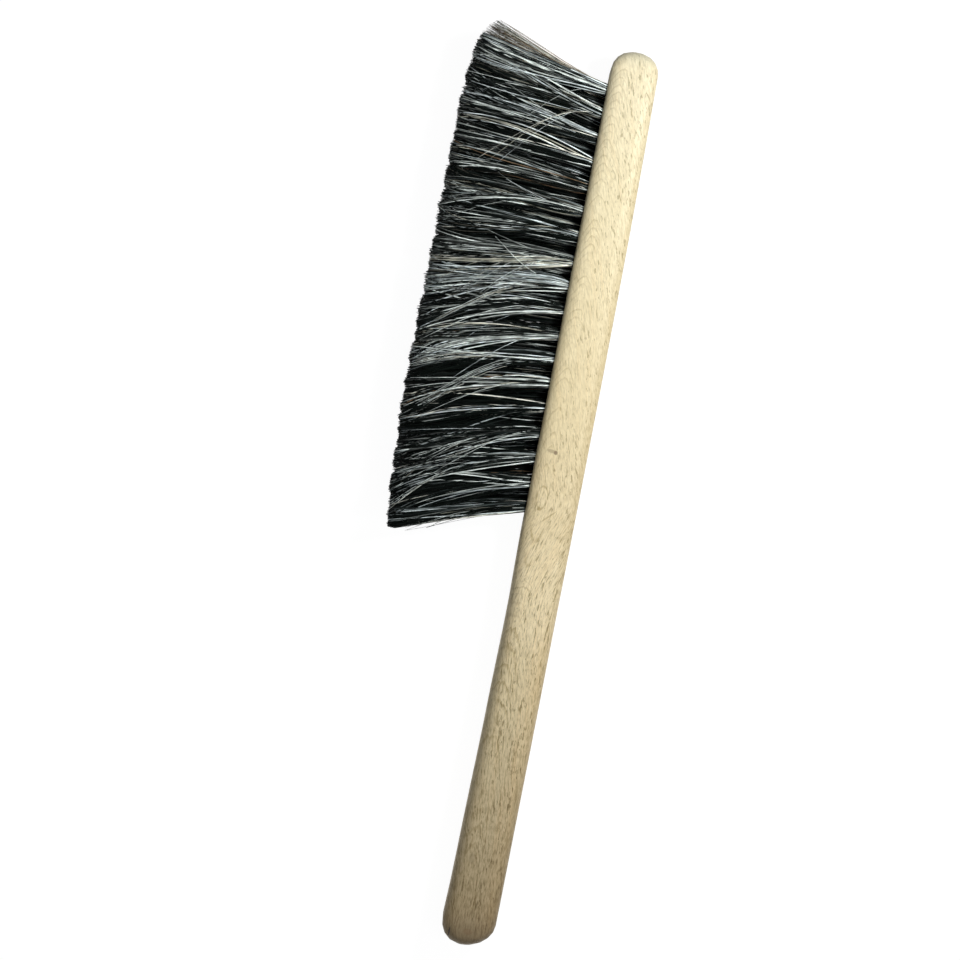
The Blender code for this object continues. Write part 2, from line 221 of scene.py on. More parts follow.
class Nodes:
    """Short calls for building a material's node tree. A number, a tuple or another node's output goes in."""

    def __init__(self, name):
        self.material = bpy.data.materials.new(name)
        self.material.use_nodes = True
        self.tree = self.material.node_tree
        self.shader = self.tree.nodes["Principled BSDF"]

    def put(self, socket, value):
        if isinstance(value, bpy.types.NodeSocket):
            self.tree.links.new(value, socket)
        elif value is not None:
            socket.default_value = value

    def add(self, kind, inputs=None, output=0, **settings):
        made = self.tree.nodes.new("ShaderNode" + kind)
        for key, value in settings.items():
            setattr(made, key, value)
        for key, value in (inputs or {}).items():
            self.put(made.inputs[key], value)
        return made.outputs[output]

    def math(self, operation, a, b=None):
        return self.add("Math", {0: a, 1: b}, operation=operation)

    def plus(self, a, b):
        return self.math("ADD", a, b)

    def minus(self, a, b):
        return self.math("SUBTRACT", a, b)

    def times(self, a, *others):
        for other in others:
            a = self.math("MULTIPLY", a, other)
        return a

    def size(self, a):
        return self.math("ABSOLUTE", a)

    def larger(self, a, b):
        return self.math("MAXIMUM", a, b)

    def hypot(self, a, b):
        return self.math("SQRT", self.plus(self.times(a, a), self.times(b, b)))

    def past(self, value, start, width):
        """0 before start and one more for each unit past it, with a corner rounded over width."""
        far = self.minus(value, start)
        return self.times(self.plus(far, self.hypot(far, width)), 0.5)

    def between(self, value, low, high, to_low=0.0, to_high=1.0):
        inputs = {"Value": value, "From Min": low, "From Max": high, "To Min": to_low, "To Max": to_high}
        return self.add("MapRange", inputs, interpolation_type="SMOOTHSTEP")

    def mix(self, share, a, b, blend="MIX"):
        made = self.tree.nodes.new("ShaderNodeMix")
        made.data_type, made.blend_type = "RGBA", blend
        for key, value in (("Factor_Float", share), ("A_Color", a), ("B_Color", b)):
            socket = next(s for s in made.inputs if s.identifier == key)
            self.put(socket, (*value, 1.0) if isinstance(value, tuple) else value)
        return next(s for s in made.outputs if s.identifier == "Result_Color")

    def noise(self, vector, scale=1.0, detail=2.0, roughness=0.5):
        inputs = {"Vector": vector, "Scale": scale, "Detail": detail, "Roughness": roughness}
        return self.add("TexNoise", inputs)

    def vector(self, x, y, z):
        return self.add("CombineXYZ", {0: x, 1: y, 2: z})

    def stretched(self, place, scales):
        return self.vector(*[self.times(value, scale) for value, scale in zip(place, scales)])

    def split(self, vector):
        return tuple(self.add("SeparateXYZ", {0: vector}).node.outputs)


def ring_lines(n, place, across, wobbling):
    """Share of the dark line that ends each growth ring."""
    _, y, z = place
    deep = n.minus(z, n.between(y, -130.0, -50.0, *PITH_Z))
    radius = n.hypot(across, deep)

    # The arches point to the toe, more so on the block, but at the neck the rings turn back for a stretch.
    neck = n.times(n.minus(y, NECK_Y), 1 / NECK_REACH)
    turned = n.math("EXPONENT", n.times(n.times(neck, neck), -1.0))
    rise = n.plus(n.times(y, RING_RISE), n.times(turned, NECK_RISE))
    rise = n.plus(rise, n.times(n.past(y, BLOCK_Y, BLOCK_REACH), BLOCK_RISE))
    ring = n.plus(n.plus(radius, rise), n.times(n.noise(wobbling, detail=3.0), WOBBLE))

    late = n.math("FRACT", n.times(ring, RINGS_PER_MM))
    return n.times(
        n.between(late, 0.58, 0.92),
        n.between(late, 1.0, 0.94),
        n.between(n.noise(n.stretched((ring, y, z), FADE_SCALE)), 0.36, 0.60),
        n.between(n.size(across), 7.0, 3.4, 0.10, 1.0),  # clear only above the pith
        n.between(y, -285.0, -225.0, 0.15, 1.0),  # worn towards the butt
        n.between(n.size(n.plus(y, 108.0)), 20.0, 32.0, 0.20, 1.0),  # at the neck, neck_lines takes over
        n.between(y, -88.0, -60.0, 0.9, 0.58),  # fainter on the block
    )


def lean_of_fibres(n, y):
    """Towards the toe the fibres lean to the hair, but for a stretch at the neck they lean away from it."""
    leaning = n.times(y, FIBRE_LEAN)
    for start, change in NECK_LEANS:
        leaning = n.plus(leaning, n.times(n.past(y, start, LEAN_REACH), change))
    return leaning


def flecks(n, place, beside, on_side_face):
    """Share of the short dark dashes, which crowd together in lines along the grain."""
    x, y, z = place
    chained = n.times(n.minus(n.noise(n.stretched((beside, y, z), CHAIN_SCALE), detail=1.0), 0.5), CHAIN)
    crowded = n.between(y, -80.0, 0.0, 0.0, 0.028)  # the block has more dashes

    def dashes(width, length, most, seed):
        """Share of the dashes of one size. They begin where their noise is under most."""
        sizes = ((beside, width), (y, length), (z, 1.3 * width))
        cell = n.vector(*[n.math("DIVIDE", value, size) for value, size in sizes])
        cell = n.add("VectorMath", {0: cell, 1: (seed, seed, seed)}, operation="ADD")
        level = n.minus(n.plus(n.noise(cell, roughness=0.6), chained), crowded)
        return n.between(level, most, most - DASH_EDGE)

    short = n.times(dashes(0.92, 4.0, 0.375, 0.0), n.between(y, -200.0, -60.0, 0.78, 0.66))
    long = n.times(dashes(0.95, 6.6, 0.37, 17.3), n.between(y, 20.0, -190.0, 0.25, 0.95))
    fleck = n.times(n.larger(short, long), on_side_face)
    among_arches = n.times(n.between(x, -1.0, -6.0), n.between(y, -80.0, -60.0))
    fleck = n.times(fleck, n.minus(1.0, n.times(among_arches, 0.50)))
    return n.times(fleck, n.between(x, -8.0, -1.0, 0.75, 1.0))


def mark(n, place, centre, reach, turn=0.0, rim=None):
    """Share of a small oval on the upper face, turned in its plane. With rim, only that share of its rim."""
    x, y, z = place
    dx, dy = n.minus(x, centre[0]), n.minus(y, centre[1])
    cos, sin = math.cos(math.radians(turn)), math.sin(math.radians(turn))
    a = n.plus(n.times(dx, cos / reach[0]), n.times(dy, sin / reach[0]))
    b = n.minus(n.times(dy, cos / reach[1]), n.times(dx, sin / reach[1]))
    far = n.plus(n.times(a, a), n.times(b, b))
    if rim is not None:
        return n.times(n.between(far, 0.66, 1.0), n.between(far, 1.36, 1.0), rim)
    return n.times(n.between(far, 1.0, 0.3), n.between(z, 15.0, 18.0))


def neck_lines(n, place, wobbling):
    """Share of the lines where the rings turn back: a closed oval, and the feet of larger ones around it."""
    _, y, z = place
    rim = n.between(n.noise(wobbling), 0.35, 0.60, 0.5, 1.0)
    lines = mark(n, place, (-5.4, -92.8), (2.5, 5.2), rim=rim)
    for centre, reach in (((-4.8, -101.0), (3.4, 12.0)), ((-6.0, -116.0), (2.0, 9.0))):
        foot = mark(n, place, centre, reach, rim=rim)
        foot = n.times(foot, n.between(y, centre[1] - 0.30 * reach[1], centre[1] - 0.85 * reach[1]))
        lines = n.larger(lines, foot)
    closing = mark(n, place, (-5.7, -98.2), (1.3, 0.9))
    crease = mark(n, place, (-0.7, -100.9), (5.6, 0.45), 44.0)
    lines = n.larger(lines, n.larger(closing, n.times(crease, 0.8)))
    return n.times(lines, n.between(z, 20.0, 22.0))


def beech():
    """Flat-sawn beech. Its rings show as arches down one side of the face, with dark flecks beside them."""
    n = Nodes("beech_grain")
    in_metres = n.add("TexCoord", output="Object")
    in_mm = n.add("VectorMath", {0: in_metres, 1: (1000.0,) * 3}, operation="MULTIPLY")
    x, y, z = place = n.split(in_mm)
    warp = n.times(n.minus(n.noise(n.stretched(place, WARP_SCALE)), 0.5), WARP)
    across = n.plus(n.minus(x, PITH_X), warp)
    wobbling = n.stretched(place, WOBBLE_SCALE)
    beside = n.plus(across, lean_of_fibres(n, y))
    facing_up = n.split(n.add("TexCoord", output="Normal"))[2]
    on_side_face = n.between(n.size(facing_up), 0.2, 0.9, 0.45, 1.0)
    fleck = flecks(n, place, beside, on_side_face)

    # Fibres, and the veins between them, which stand out more where hands have been.
    worn = n.between(y, -225.0, -260.0, 1.0, 1.45)
    fibre = n.noise(n.stretched((beside, y, z), FIBRE_SCALE), detail=4.0, roughness=0.65)
    dark_fibre = n.times(n.between(fibre, 0.54, 0.36, 0.0, 0.62), n.between(y, -100.0, -50.0, worn, 0.6))
    vein = n.times(
        n.between(n.noise(n.stretched((beside, y, z), VEIN_SCALE), roughness=0.6), 0.45, 0.36),
        n.between(fibre, 0.62, 0.44, 0.25, 1.0),
        n.between(y, -110.0, -195.0, 0.0, 0.75),
        worn,
        on_side_face,
    )
    streak = n.noise(n.stretched((beside, y, z), STREAK_SCALE))

    colour = n.mix(n.between(y, 115.0, -110.0), TOE_COLOUR, HEEL_COLOUR)
    # The colour darkens towards the butt.
    colour = n.mix(n.between(y, -160.0, -340.0), colour, HANDLE_COLOUR)
    shares = {
        "mottle": n.between(n.noise(in_mm, 0.09), 0.35, 0.75, 0.0, 0.2),
        "dark fibre": dark_fibre,
        "pale fibre": n.times(n.between(fibre, 0.50, 0.66, 0.0, 0.69), worn),
        "speckle": n.between(n.noise(in_mm, 1.4, roughness=0.6), 0.55, 0.8, 0.0, 0.2),
        "ring": n.times(ring_lines(n, place, across, wobbling), RING_SHARE),
        "vein": vein,
        "streak": n.between(streak, 0.50, 0.70, 0.0, 0.5),
        "fleck": fleck,
        "block": n.between(n.size(y), 105.0, 45.0),
        "neck": n.between(n.size(n.plus(y, 140.0)), 34.0, 10.0),
        "butt": n.between(y, -272.0, -294.0),
        "back of the handle": n.times(n.between(x, 0.0, 7.0), n.between(y, -125.0, -175.0)),
        # Painted shade along the rounded back edge.
        "painted shade on the back edge": n.between(x, 5.0, 11.0, 0.0, 0.5),
        # Painted shade on the rounded edge next to the hair, fading out towards the butt.
        "painted shade beside the hair": n.times(n.between(x, -6.0, -12.0, 0.0, 0.34), n.between(y, -270.0, -190.0)),
    }
    for feature, share in shares.items():
        colour = n.mix(share, colour, TINTS[feature], "MULTIPLY")
    # Painted shade: the toe's rounded end turns grey-green, as where it curves away from the light.
    colour = n.mix(n.between(y, 108.5, 116.5, 0.0, 0.38), colour, NOSE_SHADE_COLOUR)
    # Darker still at the end of the butt.
    colour = n.mix(n.between(y, -284.0, -302.0, 0.0, 0.68), colour, BUTT_END_COLOUR)
    colour = n.mix(n.times(neck_lines(n, place, wobbling), RING_SHARE), colour, TINTS["ring"], "MULTIPLY")
    for centre, reach, turn, share, stain in MARKS:
        colour = n.mix(n.times(mark(n, place, centre, reach, turn), share), colour, stain)
    # The split at the butt: its near-black colour is painted shade inside the crack.
    split_end = mark(n, place, SPLIT_CENTRE, SPLIT_REACH)
    colour = n.mix(n.times(split_end, SPLIT_SHARE), colour, SPLIT_SHADE_COLOUR)
    n.put(n.shader.inputs["Base Color"], colour)

    n.put(n.shader.inputs["Roughness"], n.between(fibre, 0.3, 0.7, 0.58, 0.48))
    n.shader.inputs["Specular IOR Level"].default_value = BEECH_SPECULAR
    sunk = n.plus(n.times(fleck, -0.8), n.times(fibre, 0.5))
    sunk = n.minus(sunk, n.times(split_end, 2.0))
    bump = {"Height": sunk, "Strength": GRAIN_BUMP, "Distance": GRAIN_DEPTH}
    n.put(n.shader.inputs["Normal"], n.add("Bump", bump))
    return n.material


def horsehair():
    """Every strand has one of the palette's classes. Along its length its tone drifts and painted sheen rises
    and falls, like broken highlights.
    """
    n = Nodes("horsehair_strands")
    tone = n.add("Attribute", output="Fac", attribute_name="tone")
    along = n.add("Attribute", output="Fac", attribute_name="along")
    ramp = n.tree.nodes.new("ShaderNodeValToRGB")
    n.put(ramp.inputs[0], tone)
    stops = ramp.color_ramp
    stops.interpolation = "CONSTANT"
    first_stops = len(stops.elements)
    for i, colour in enumerate(colour for family in PALETTE.values() for colour in family):
        stop = stops.elements[i] if i < first_stops else stops.elements.new(i / CLASSES)
        stop.position = i / CLASSES
        stop.color = (*colour, 1.0)
    streak = n.vector(n.times(tone, CLASSES * VARIANTS * 7.3), n.times(along, 9.0), 0.0)
    # Painted sheen: brightness that rises and falls along each strand like highlights, with some drift of
    # tone.
    sheen_and_tone_drift = n.between(n.noise(streak, detail=3.0), 0.33, 0.67, 0.50, 1.55)
    # Painted shade: the strands darken where they go into their holes.
    root = n.between(along, 0.02, 0.06, 0.50, 1.0)
    tip = n.between(along, 0.50, 0.92, 1.0, 0.81)
    shade = n.times(sheen_and_tone_drift, root, tip)
    grey = n.add("CombineColor", {0: shade, 1: shade, 2: shade})
    n.put(n.shader.inputs["Base Color"], n.mix(1.0, ramp.outputs[0], grey, "MULTIPLY"))
    n.shader.inputs["Roughness"].default_value = HAIR_ROUGHNESS
    n.shader.inputs["Specular IOR Level"].default_value = HAIR_SPECULAR
    return n.material


# Hair.


def tuft_places(side):
    """Roots, outward axes and along-row directions of a row's tufts. side is -1, 0 or 1 from the floor up."""
    count = TUFTS_PER_ROW - (side == 0)
    y = TUFT_PITCH * ((count - 1) / 2 - np.arange(count))
    lean = FAN * y / HALF_FIELD
    root = np.stack([np.full(count, FACE_X), y, np.full(count, MID_Z + side * ROW_SPACING)], 1)
    axis = np.stack([-np.cos(lean), np.sin(lean), np.full(count, side * ROW_LEAN)], 1)
    axis /= np.linalg.norm(axis, axis=1)[:, None]
    along = np.stack([np.sin(lean), np.cos(lean), np.zeros(count)], 1)
    return root, axis, along


def curve_points(controls, steps):
    """Points and unit tangents of cubic Bezier curves, one for each row of controls."""
    s = np.linspace(0, 1, steps + 1)[None, :, None]
    a, b, c, d = (controls[:, i:i + 1] for i in range(4))
    r = 1 - s
    points = a * r**3 + 3 * b * r**2 * s + 3 * c * r * s**2 + d * s**3
    tangents = 3 * ((b - a) * r**2 + 2 * (c - b) * r * s + (d - c) * s**2)
    return points, tangents / np.linalg.norm(tangents, axis=2)[:, :, None]


class Strands:
    """Gathers strands as three-sided tubes, then makes them into one mesh."""

    def __init__(self):
        self.verts, self.tone, self.along, self.quads, self.caps = [], [], [], [], []
        self.quad_uv, self.cap_uv = [], []
        self.count = 0

    def add(self, controls, radius, tone, steps, turn):
        """tone is each strand's class. turn is the angle of its first side, which also gives its variant."""
        many, rings = len(controls), steps + 1
        points, tangents = curve_points(controls, steps)
        side = np.cross(tangents, UP)
        side /= np.linalg.norm(side, axis=2)[:, :, None]
        other = np.cross(side, tangents)
        share = np.linspace(0, 1, rings)
        taper = 1.0 - TIP_TAPER * share**3
        angle = turn[:, None, None] + np.arange(SIDES)[None, None, :] * 2 * math.pi / SIDES
        width = radius[:, None, None] * taper[None, :, None]
        ring = points[:, :, None] + side[:, :, None] * (np.cos(angle) * width)[..., None]
        ring = ring + other[:, :, None] * (np.sin(angle) * width)[..., None]
        self.verts.append(ring.reshape(-1, 3))
        # Each class and variant has its own narrow strip across the bake map, and the strand runs up it.
        cell = tone * VARIANTS + np.floor(turn / (2 * math.pi) * VARIANTS)
        left, middle, right = ((cell + part) / (CLASSES * VARIANTS) for part in (0.2, 0.5, 0.8))
        self.tone.append(np.repeat(middle, rings * SIDES))
        self.along.append(np.tile(np.repeat(share, SIDES), many))

        first = self.count + np.arange(many)[:, None, None] * rings * SIDES
        low = first + np.arange(steps)[None, :, None] * SIDES
        high = low + SIDES
        corner = np.arange(SIDES)[None, None, :]
        beside = (corner + 1) % SIDES
        quads = np.stack([low + corner, low + beside, high + beside, high + corner], 3)
        self.quads.append(quads.reshape(-1, 4))
        root = first[:, 0] + np.array([[2, 1, 0]])
        end = first[:, 0] + steps * SIDES + np.array([[0, 1, 2]])
        self.caps.append(np.concatenate([root, end]))

        every_corner = (many, steps, SIDES, 4)
        u = np.broadcast_to(np.stack([left, right, right, left], 1)[:, None, None, :], every_corner)
        v = np.stack([share[:-1], share[:-1], share[1:], share[1:]], 1)[None, :, None, :]
        self.quad_uv.append(np.stack([u, np.broadcast_to(v, every_corner)], 4).reshape(-1, 2))
        cap_u = np.stack([left, right, right], 1)
        for cap_v in ((0.0, 0.0, 0.01), (0.99, 0.99, 1.0)):  # at the root and at the end
            self.cap_uv.append(np.stack([cap_u, np.tile(cap_v, (many, 1))], 2).reshape(-1, 2))
        self.count += many * rings * SIDES

    def piece(self, name, material, replaced):
        verts = np.concatenate(self.verts)
        quads, caps = np.concatenate(self.quads), np.concatenate(self.caps)
        mesh = bpy.data.meshes.new(name)
        mesh.vertices.add(len(verts))
        mesh.vertices.foreach_set("co", verts.astype(np.float32).ravel())
        mesh.loops.add(quads.size + caps.size)
        corners = np.concatenate([quads.ravel(), caps.ravel()])
        mesh.loops.foreach_set("vertex_index", corners.astype(np.int32))
        starts = np.concatenate([np.arange(len(quads)) * 4, quads.size + np.arange(len(caps)) * 3])
        mesh.polygons.add(len(starts))
        mesh.polygons.foreach_set("loop_start", starts.astype(np.int32))
        mesh.update(calc_edges=True)
        for key, values in (("tone", self.tone), ("along", self.along)):
            attribute = mesh.attributes.new(key, "FLOAT", "POINT")
            attribute.data.foreach_set("value", np.concatenate(values).astype(np.float32))
        bake_map = mesh.uv_layers.new(name="OFBake")
        uv = np.concatenate(self.quad_uv + self.cap_uv)
        bake_map.data.foreach_set("uv", uv.astype(np.float32).ravel())
        mesh.polygons.foreach_set("use_smooth", np.ones(len(starts), bool))
        mesh.materials.append(material)
        made = bpy.data.objects.new(name, mesh)
        bpy.context.scene.collection.objects.link(made)
        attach(made, "root")
        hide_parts(*replaced)


def trim_x(y):
    """Where the trimmed ends lie at places along the block."""
    return FACE_X - np.interp(y, TRIM_AT, TRIM)


def uneven(y):
    """How far the cut ends stand short of the trim, or past it where it is negative, in slow waves."""
    place = y / MM
    wide = np.sin(place * 0.39 + 1.3 * np.sin(place * 0.13))
    return (0.45 * wide + 0.30 * np.sin(place * 1.13 + 0.7)) * MM


def keep_in(rng, points):
    """Holds control points between the floor and the hair's upper side, each strand at its own height."""
    many = len(points)
    low = SIDE_MARGIN + rng.uniform(0, FLOOR_SCATTER, many)
    high = THICKNESS + UPPER_PROUD - np.minimum(rng.exponential(UPPER_SCATTER, many), UPPER_LOWEST)
    points[..., 2] = np.clip(points[..., 2], low[:, None], high[:, None])
    return points


def sweep_of(y, side):
    """How far the ends of a tuft rooted at y stand along the block from its root."""
    swept = np.interp(y, SWEEP_AT, SWEEP)
    fanned = HAIR_LENGTH * np.sin(FAN * y / HALF_FIELD)
    share = 1.0 if side else MIDDLE_SWEEP
    return swept * share + fanned * (1 - share)


def turns(rng, many):
    """An angle for each strand."""
    return rng.uniform(0, 2 * math.pi, many)


def classes(rng, bright, family, level):
    """Class of each strand. bright says which aren't black, family and level choose the colour."""
    black = BLACK * PALETTE_SHADES + rng.choice(PALETTE_SHADES, len(bright), p=BLACK_SHADES)
    return np.where(bright, family * PALETTE_SHADES + level, black)


def make_clumps(rng, root, side, layer):
    """Each tuft's clumps: place in the bundle and at the ends, sway, share of bright strands, and family."""
    shape = (len(root), layer.clumps)
    angle = 2 * math.pi * (np.arange(layer.clumps)[None] + rng.uniform(0, 1, (len(root), 1))) / layer.clumps
    reach = BUNDLE_RADIUS * np.sqrt(rng.uniform(*CLUMP_OUT, shape))
    u, w = reach * np.cos(angle), reach * np.sin(angle)
    gather_u = u * OPEN_ALONG + rng.normal(0, GATHER_SPREAD, shape)
    gather_w = w * OPEN_ACROSS + rng.normal(0, GATHER_LIFT, shape)
    sway = rng.normal(0, SWAY, (*shape, 2))
    if layer is DRESS:
        lag = SWAY_LAG * np.abs(sway[:, :, 0])
        gather_u -= lag * np.interp(root[:, 1], LAG_AT, LAG_SHARE)[:, None]
    along_share = np.interp(root[:, 1], BRIGHT_AT, BRIGHT_SHARE)
    base = layer.bright * (1.0 if side else BRIGHT_INSIDE)
    clumped = 0.55 + 0.45 * rng.beta(0.9, 1.7, shape) / 0.346  # 1 on average
    bright = np.clip(clumped * base * along_share[:, None], 0, MOST_BRIGHT)
    family = rng.choice((NEUTRAL, COOL, WARM, BROWN), shape, p=CLUMP_FAMILIES)
    if side:
        family[COOL_TUFTS, :COOL_CLUMPS] = COOL
        bright[COOL_TUFTS, :COOL_CLUMPS] = np.maximum(bright[COOL_TUFTS, :COOL_CLUMPS], COOL_BRIGHT)
    return u, w, gather_u, gather_w, sway, bright, family


def strand_curves(rng, places, side, layer, tuft, clump, clumps):
    """Control points of a row's strands, each of which belongs to a tuft and to one of its clumps."""
    root, axis, along = places
    many = len(tuft)
    clump_u, clump_w, gather_u, gather_w, sway = (values[tuft, clump] for values in clumps)
    u = clump_u + rng.normal(0, ROOT_SPREAD, many)
    w = clump_w + rng.normal(0, ROOT_SPREAD, many)
    if layer is DRESS:
        w = side * (BUNDLE_RADIUS - np.abs(rng.normal(0, SKIN_SPREAD, many)))
        u = rng.uniform(-SKIN_WIDTH, SKIN_WIDTH, many) * BUNDLE_RADIUS
    far = np.hypot(u, w) / BUNDLE_RADIUS
    shrink = np.where(far > 1, 1 / far, 1.0)
    u, w = u * shrink, w * shrink
    spot = along[tuft] * u[:, None] + UP * w[:, None]
    start = root[tuft] + spot - axis[tuft] * ROOT_DEPTH

    # Ends: on the trimmed surface, at the tuft's swept place, its clump's and its own.
    end_y = root[tuft, 1] + sweep_of(root[:, 1], side)[tuft] + gather_u * layer.wander
    end_y += 0.9 * u + rng.normal(0, END_SPREAD, many)
    last_y, first_y = (rng.exponential(scatter, many) for scatter in (HEEL_SCATTER, TOE_SCATTER))
    end_y = np.clip(end_y, END_HEEL + last_y, END_TOE - first_y)
    end_z = MID_Z + side * TIP_LAYER + gather_w + 0.6 * w + rng.normal(0, END_LIFT, many)
    if layer is DRESS:
        end_z = MID_Z + side * (MID_Z - SKIN_DEPTH - np.abs(rng.normal(0, SKIN_SCATTER, many)))
    end_x = trim_x(end_y) + uneven(end_y) + rng.normal(0, CUT_SPREAD, many) + rng.exponential(CUT_SHORT, many)
    end = np.stack([end_x, end_y, end_z], 1)

    # Bends: out along the hole's axis, then over to the end, with the clump's sway.
    length = np.linalg.norm(end - start, axis=1)[:, None]
    miss = end - (start + axis[tuft] * length)
    near = start + axis[tuft] * length * NEAR_AT + spot * 0.75
    mid = start + axis[tuft] * length * MID_AT + miss * rng.uniform(0.30, 0.55, (many, 1))
    swing = sway * layer.wander + rng.normal(0, STRAND_SWAY, (many, 2))
    near[:, 1] += swing[:, 0] * NEAR_SWING
    mid[:, 1] += swing[:, 1] * MID_SWING
    near[:, 1] += rng.normal(0, BEND_SPREAD, many)
    near[:, 2] += rng.normal(0, BEND_SPREAD, many)
    mid[:, 2] += rng.normal(0, MID_LIFT, many)
    first, last = tuft == 0, tuft == len(root) - 1
    for point, share in ((near, NEAR_AT), (mid, MID_AT)):
        chord = start[:, 1] + (end[:, 1] - start[:, 1]) * share
        point[:, 1] = np.where(first, np.minimum(point[:, 1], chord + MOST_BULGE), point[:, 1])
        point[:, 1] = np.where(last, np.maximum(point[:, 1], chord - MOST_BULGE), point[:, 1])
    return keep_in(rng, np.stack([start, near, mid, end], 1))


def grow_row(rng, side, strands, layer, per_tuft, steps):
    """Adds one layer of one row, with per_tuft strands to a tuft and steps along each."""
    places = tuft_places(side)
    root = places[0]
    many = len(root) * per_tuft
    tuft = np.repeat(np.arange(len(root)), per_tuft)
    clump = rng.integers(0, layer.clumps, many)
    *clumps, brightness, families = make_clumps(rng, root, side, layer)
    controls = strand_curves(rng, places, side, layer, tuft, clump, clumps)

    bright = rng.uniform(0, 1, many) < brightness[tuft, clump]
    other = rng.choice((NEUTRAL, COOL, WARM, BROWN), many, p=STRAND_FAMILIES)
    family = np.where(rng.uniform(0, 1, many) < LIKE_CLUMP, families[tuft, clump], other)
    level = rng.choice(PALETTE_SHADES, many, p=layer.shades)
    tone = classes(rng, bright, family, level)
    radius = np.where(bright, rng.uniform(*BRIGHT_RADIUS, many), rng.uniform(*BLACK_RADIUS, many)) * MM
    strands.add(controls, radius * layer.stout, tone, steps, turns(rng, many))


def grow_flare(rng, side, strands, flare):
    """Fine loose hair past the first tuft or the last one: pale at the toe and dark at the heel."""
    root, axis, along = (values[flare.tuft] for values in tuft_places(side))
    many = flare.many
    u = flare.away * rng.uniform(0.45, 1.0, many) * BUNDLE_RADIUS
    w = rng.uniform(-0.6, 0.6, many) * BUNDLE_RADIUS
    start = root + along * u[:, None] + UP * w[:, None] - axis * ROOT_DEPTH
    out = rng.beta(1.1, 1.3, many)  # share of the way out from the tuft
    short = np.minimum(rng.exponential(3.6, many), 9.0)  # of the trim, in millimetres
    if flare is TOE_FLARE:
        end_y = (TOE_FROM + TOE_FAN * out - TOE_SLANT * short) * MM
    else:
        end_y = END_HEEL + (HEEL_FROM - HEEL_FAN * out) * MM
    end_x = trim_x(end_y) + short * MM
    end_z = MID_Z + side * TIP_LAYER + rng.normal(0, FLARE_LIFT * MM, many)
    end = np.stack([end_x, end_y, end_z], 1)
    near = start + axis * FLARE_NEAR * MM
    near[:, 1] += flare.away * (out - 1.3) * FLARE_SPLAY * MM
    mid = near + (end - near) * 0.45
    mid[:, 1] += rng.normal(flare.bulge, 1.5 * MM, many)
    controls = keep_in(rng, np.stack([start, near, mid, end], 1))
    pale = rng.uniform(0, 1, many) < flare.pale
    family = rng.choice((NEUTRAL, WARM, BROWN), many, p=flare.families)
    level = rng.choice(PALETTE_SHADES, many, p=flare.shades)
    tone = classes(rng, pale, family, level)
    radius = rng.uniform(*FLARE_RADIUS, many) * MM
    strands.add(controls, radius, tone, FLARE_STEPS, turns(rng, many))


def grow_strays(rng, side, strands):
    """Hairs that have sprung loose and cross the others: sheaves bent to the heel, and singles either way."""
    root, axis, along = tuft_places(side)
    sizes = np.concatenate([rng.integers(*SHEAF_SIZES, STRAY_SHEAVES), np.ones(STRAY_SINGLES, int)])
    group = np.repeat(np.arange(len(sizes)), sizes)
    many = len(group)

    def shared(low, high, spread):
        """A value for each hair: its group's, and a little of its own."""
        return rng.uniform(low, high, len(sizes))[group] + rng.normal(0, spread, many)

    rooted = rng.integers(0, len(root), len(sizes))
    tuft = rooted[group]
    u = rng.uniform(-1, 1, many) * BUNDLE_RADIUS * 0.8
    w = side * rng.uniform(0.3, 0.9, many) * BUNDLE_RADIUS
    spot = along[tuft] * u[:, None] + UP * w[:, None]
    start = root[tuft] + spot - axis[tuft] * ROOT_DEPTH
    to_toe = (rng.uniform(0, 1, len(sizes)) < 0.55) & (sizes == 1) & (rooted < 0.45 * len(root))
    reach = shared(*STRAY_REACH) * MM
    shift = np.where(to_toe[group], shared(*STRAY_TO_TOE), -shared(*STRAY_TO_HEEL)) * MM
    end_y = np.clip(root[tuft, 1] + shift, END_HEEL + 3 * MM, END_TOE - 3 * MM)
    end_x = np.maximum(FACE_X - reach, trim_x(end_y))
    lift = MID_Z + side * (MID_Z + rng.uniform(-0.6, 0.35, many) * MM)
    end = np.stack([end_x, end_y, lift], 1)
    bend = shared(*STRAY_BEND)[:, None]
    near = start + axis[tuft] * reach[:, None] * bend
    near[:, 2] = MID_Z + side * rng.uniform(8.0, 11.5, many) * MM
    mid = near + (end - near) * (0.30 + 0.20 * bend)
    mid[:, 1] += rng.normal(0, 0.8 * MM, many)
    mid[:, 2] = lift
    controls = keep_in(rng, np.stack([start, near, mid, end], 1))
    family = rng.choice((NEUTRAL, COOL, WARM), many, p=STRAY_FAMILIES)
    level = rng.choice(STRAY_SHADES, many, p=STRAY_CHANCES)
    radius = rng.uniform(*STRAY_RADIUS, many) * MM
    strands.add(controls, radius, family * PALETTE_SHADES + level, STRAY_STEPS, turns(rng, many))


def make_hair(material):
    for row, row_name in enumerate(ROW_NAMES):
        side = row - 1
        rng = np.random.default_rng(SEED + row)
        strands = Strands()
        if side:
            grow_row(rng, side, strands, BULK, per_tuft=135, steps=8)
            grow_row(rng, side, strands, DRESS, per_tuft=42, steps=12)
            grow_strays(rng, side, strands)
        else:
            grow_row(rng, side, strands, BULK, per_tuft=165, steps=6)
        grow_flare(rng, side, strands, TOE_FLARE)
        grow_flare(rng, side, strands, HEEL_FLARE)
        replaced = [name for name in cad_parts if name.startswith(f"tuft_{row_name}_")]
        strands.piece(f"hair_{row_name}", material, replaced)


# Stage.


def lamp(name, place, target, size, power):
    data = bpy.data.lights.new(name, "AREA")
    data.shape = "DISK"
    data.size = size
    data.energy = power
    made = bpy.data.objects.new(name, data)
    made.location = place
    made.rotation_euler = (Vector(target) - Vector(place)).to_track_quat("-Z", "Y").to_euler()
    bpy.context.scene.collection.objects.link(made)


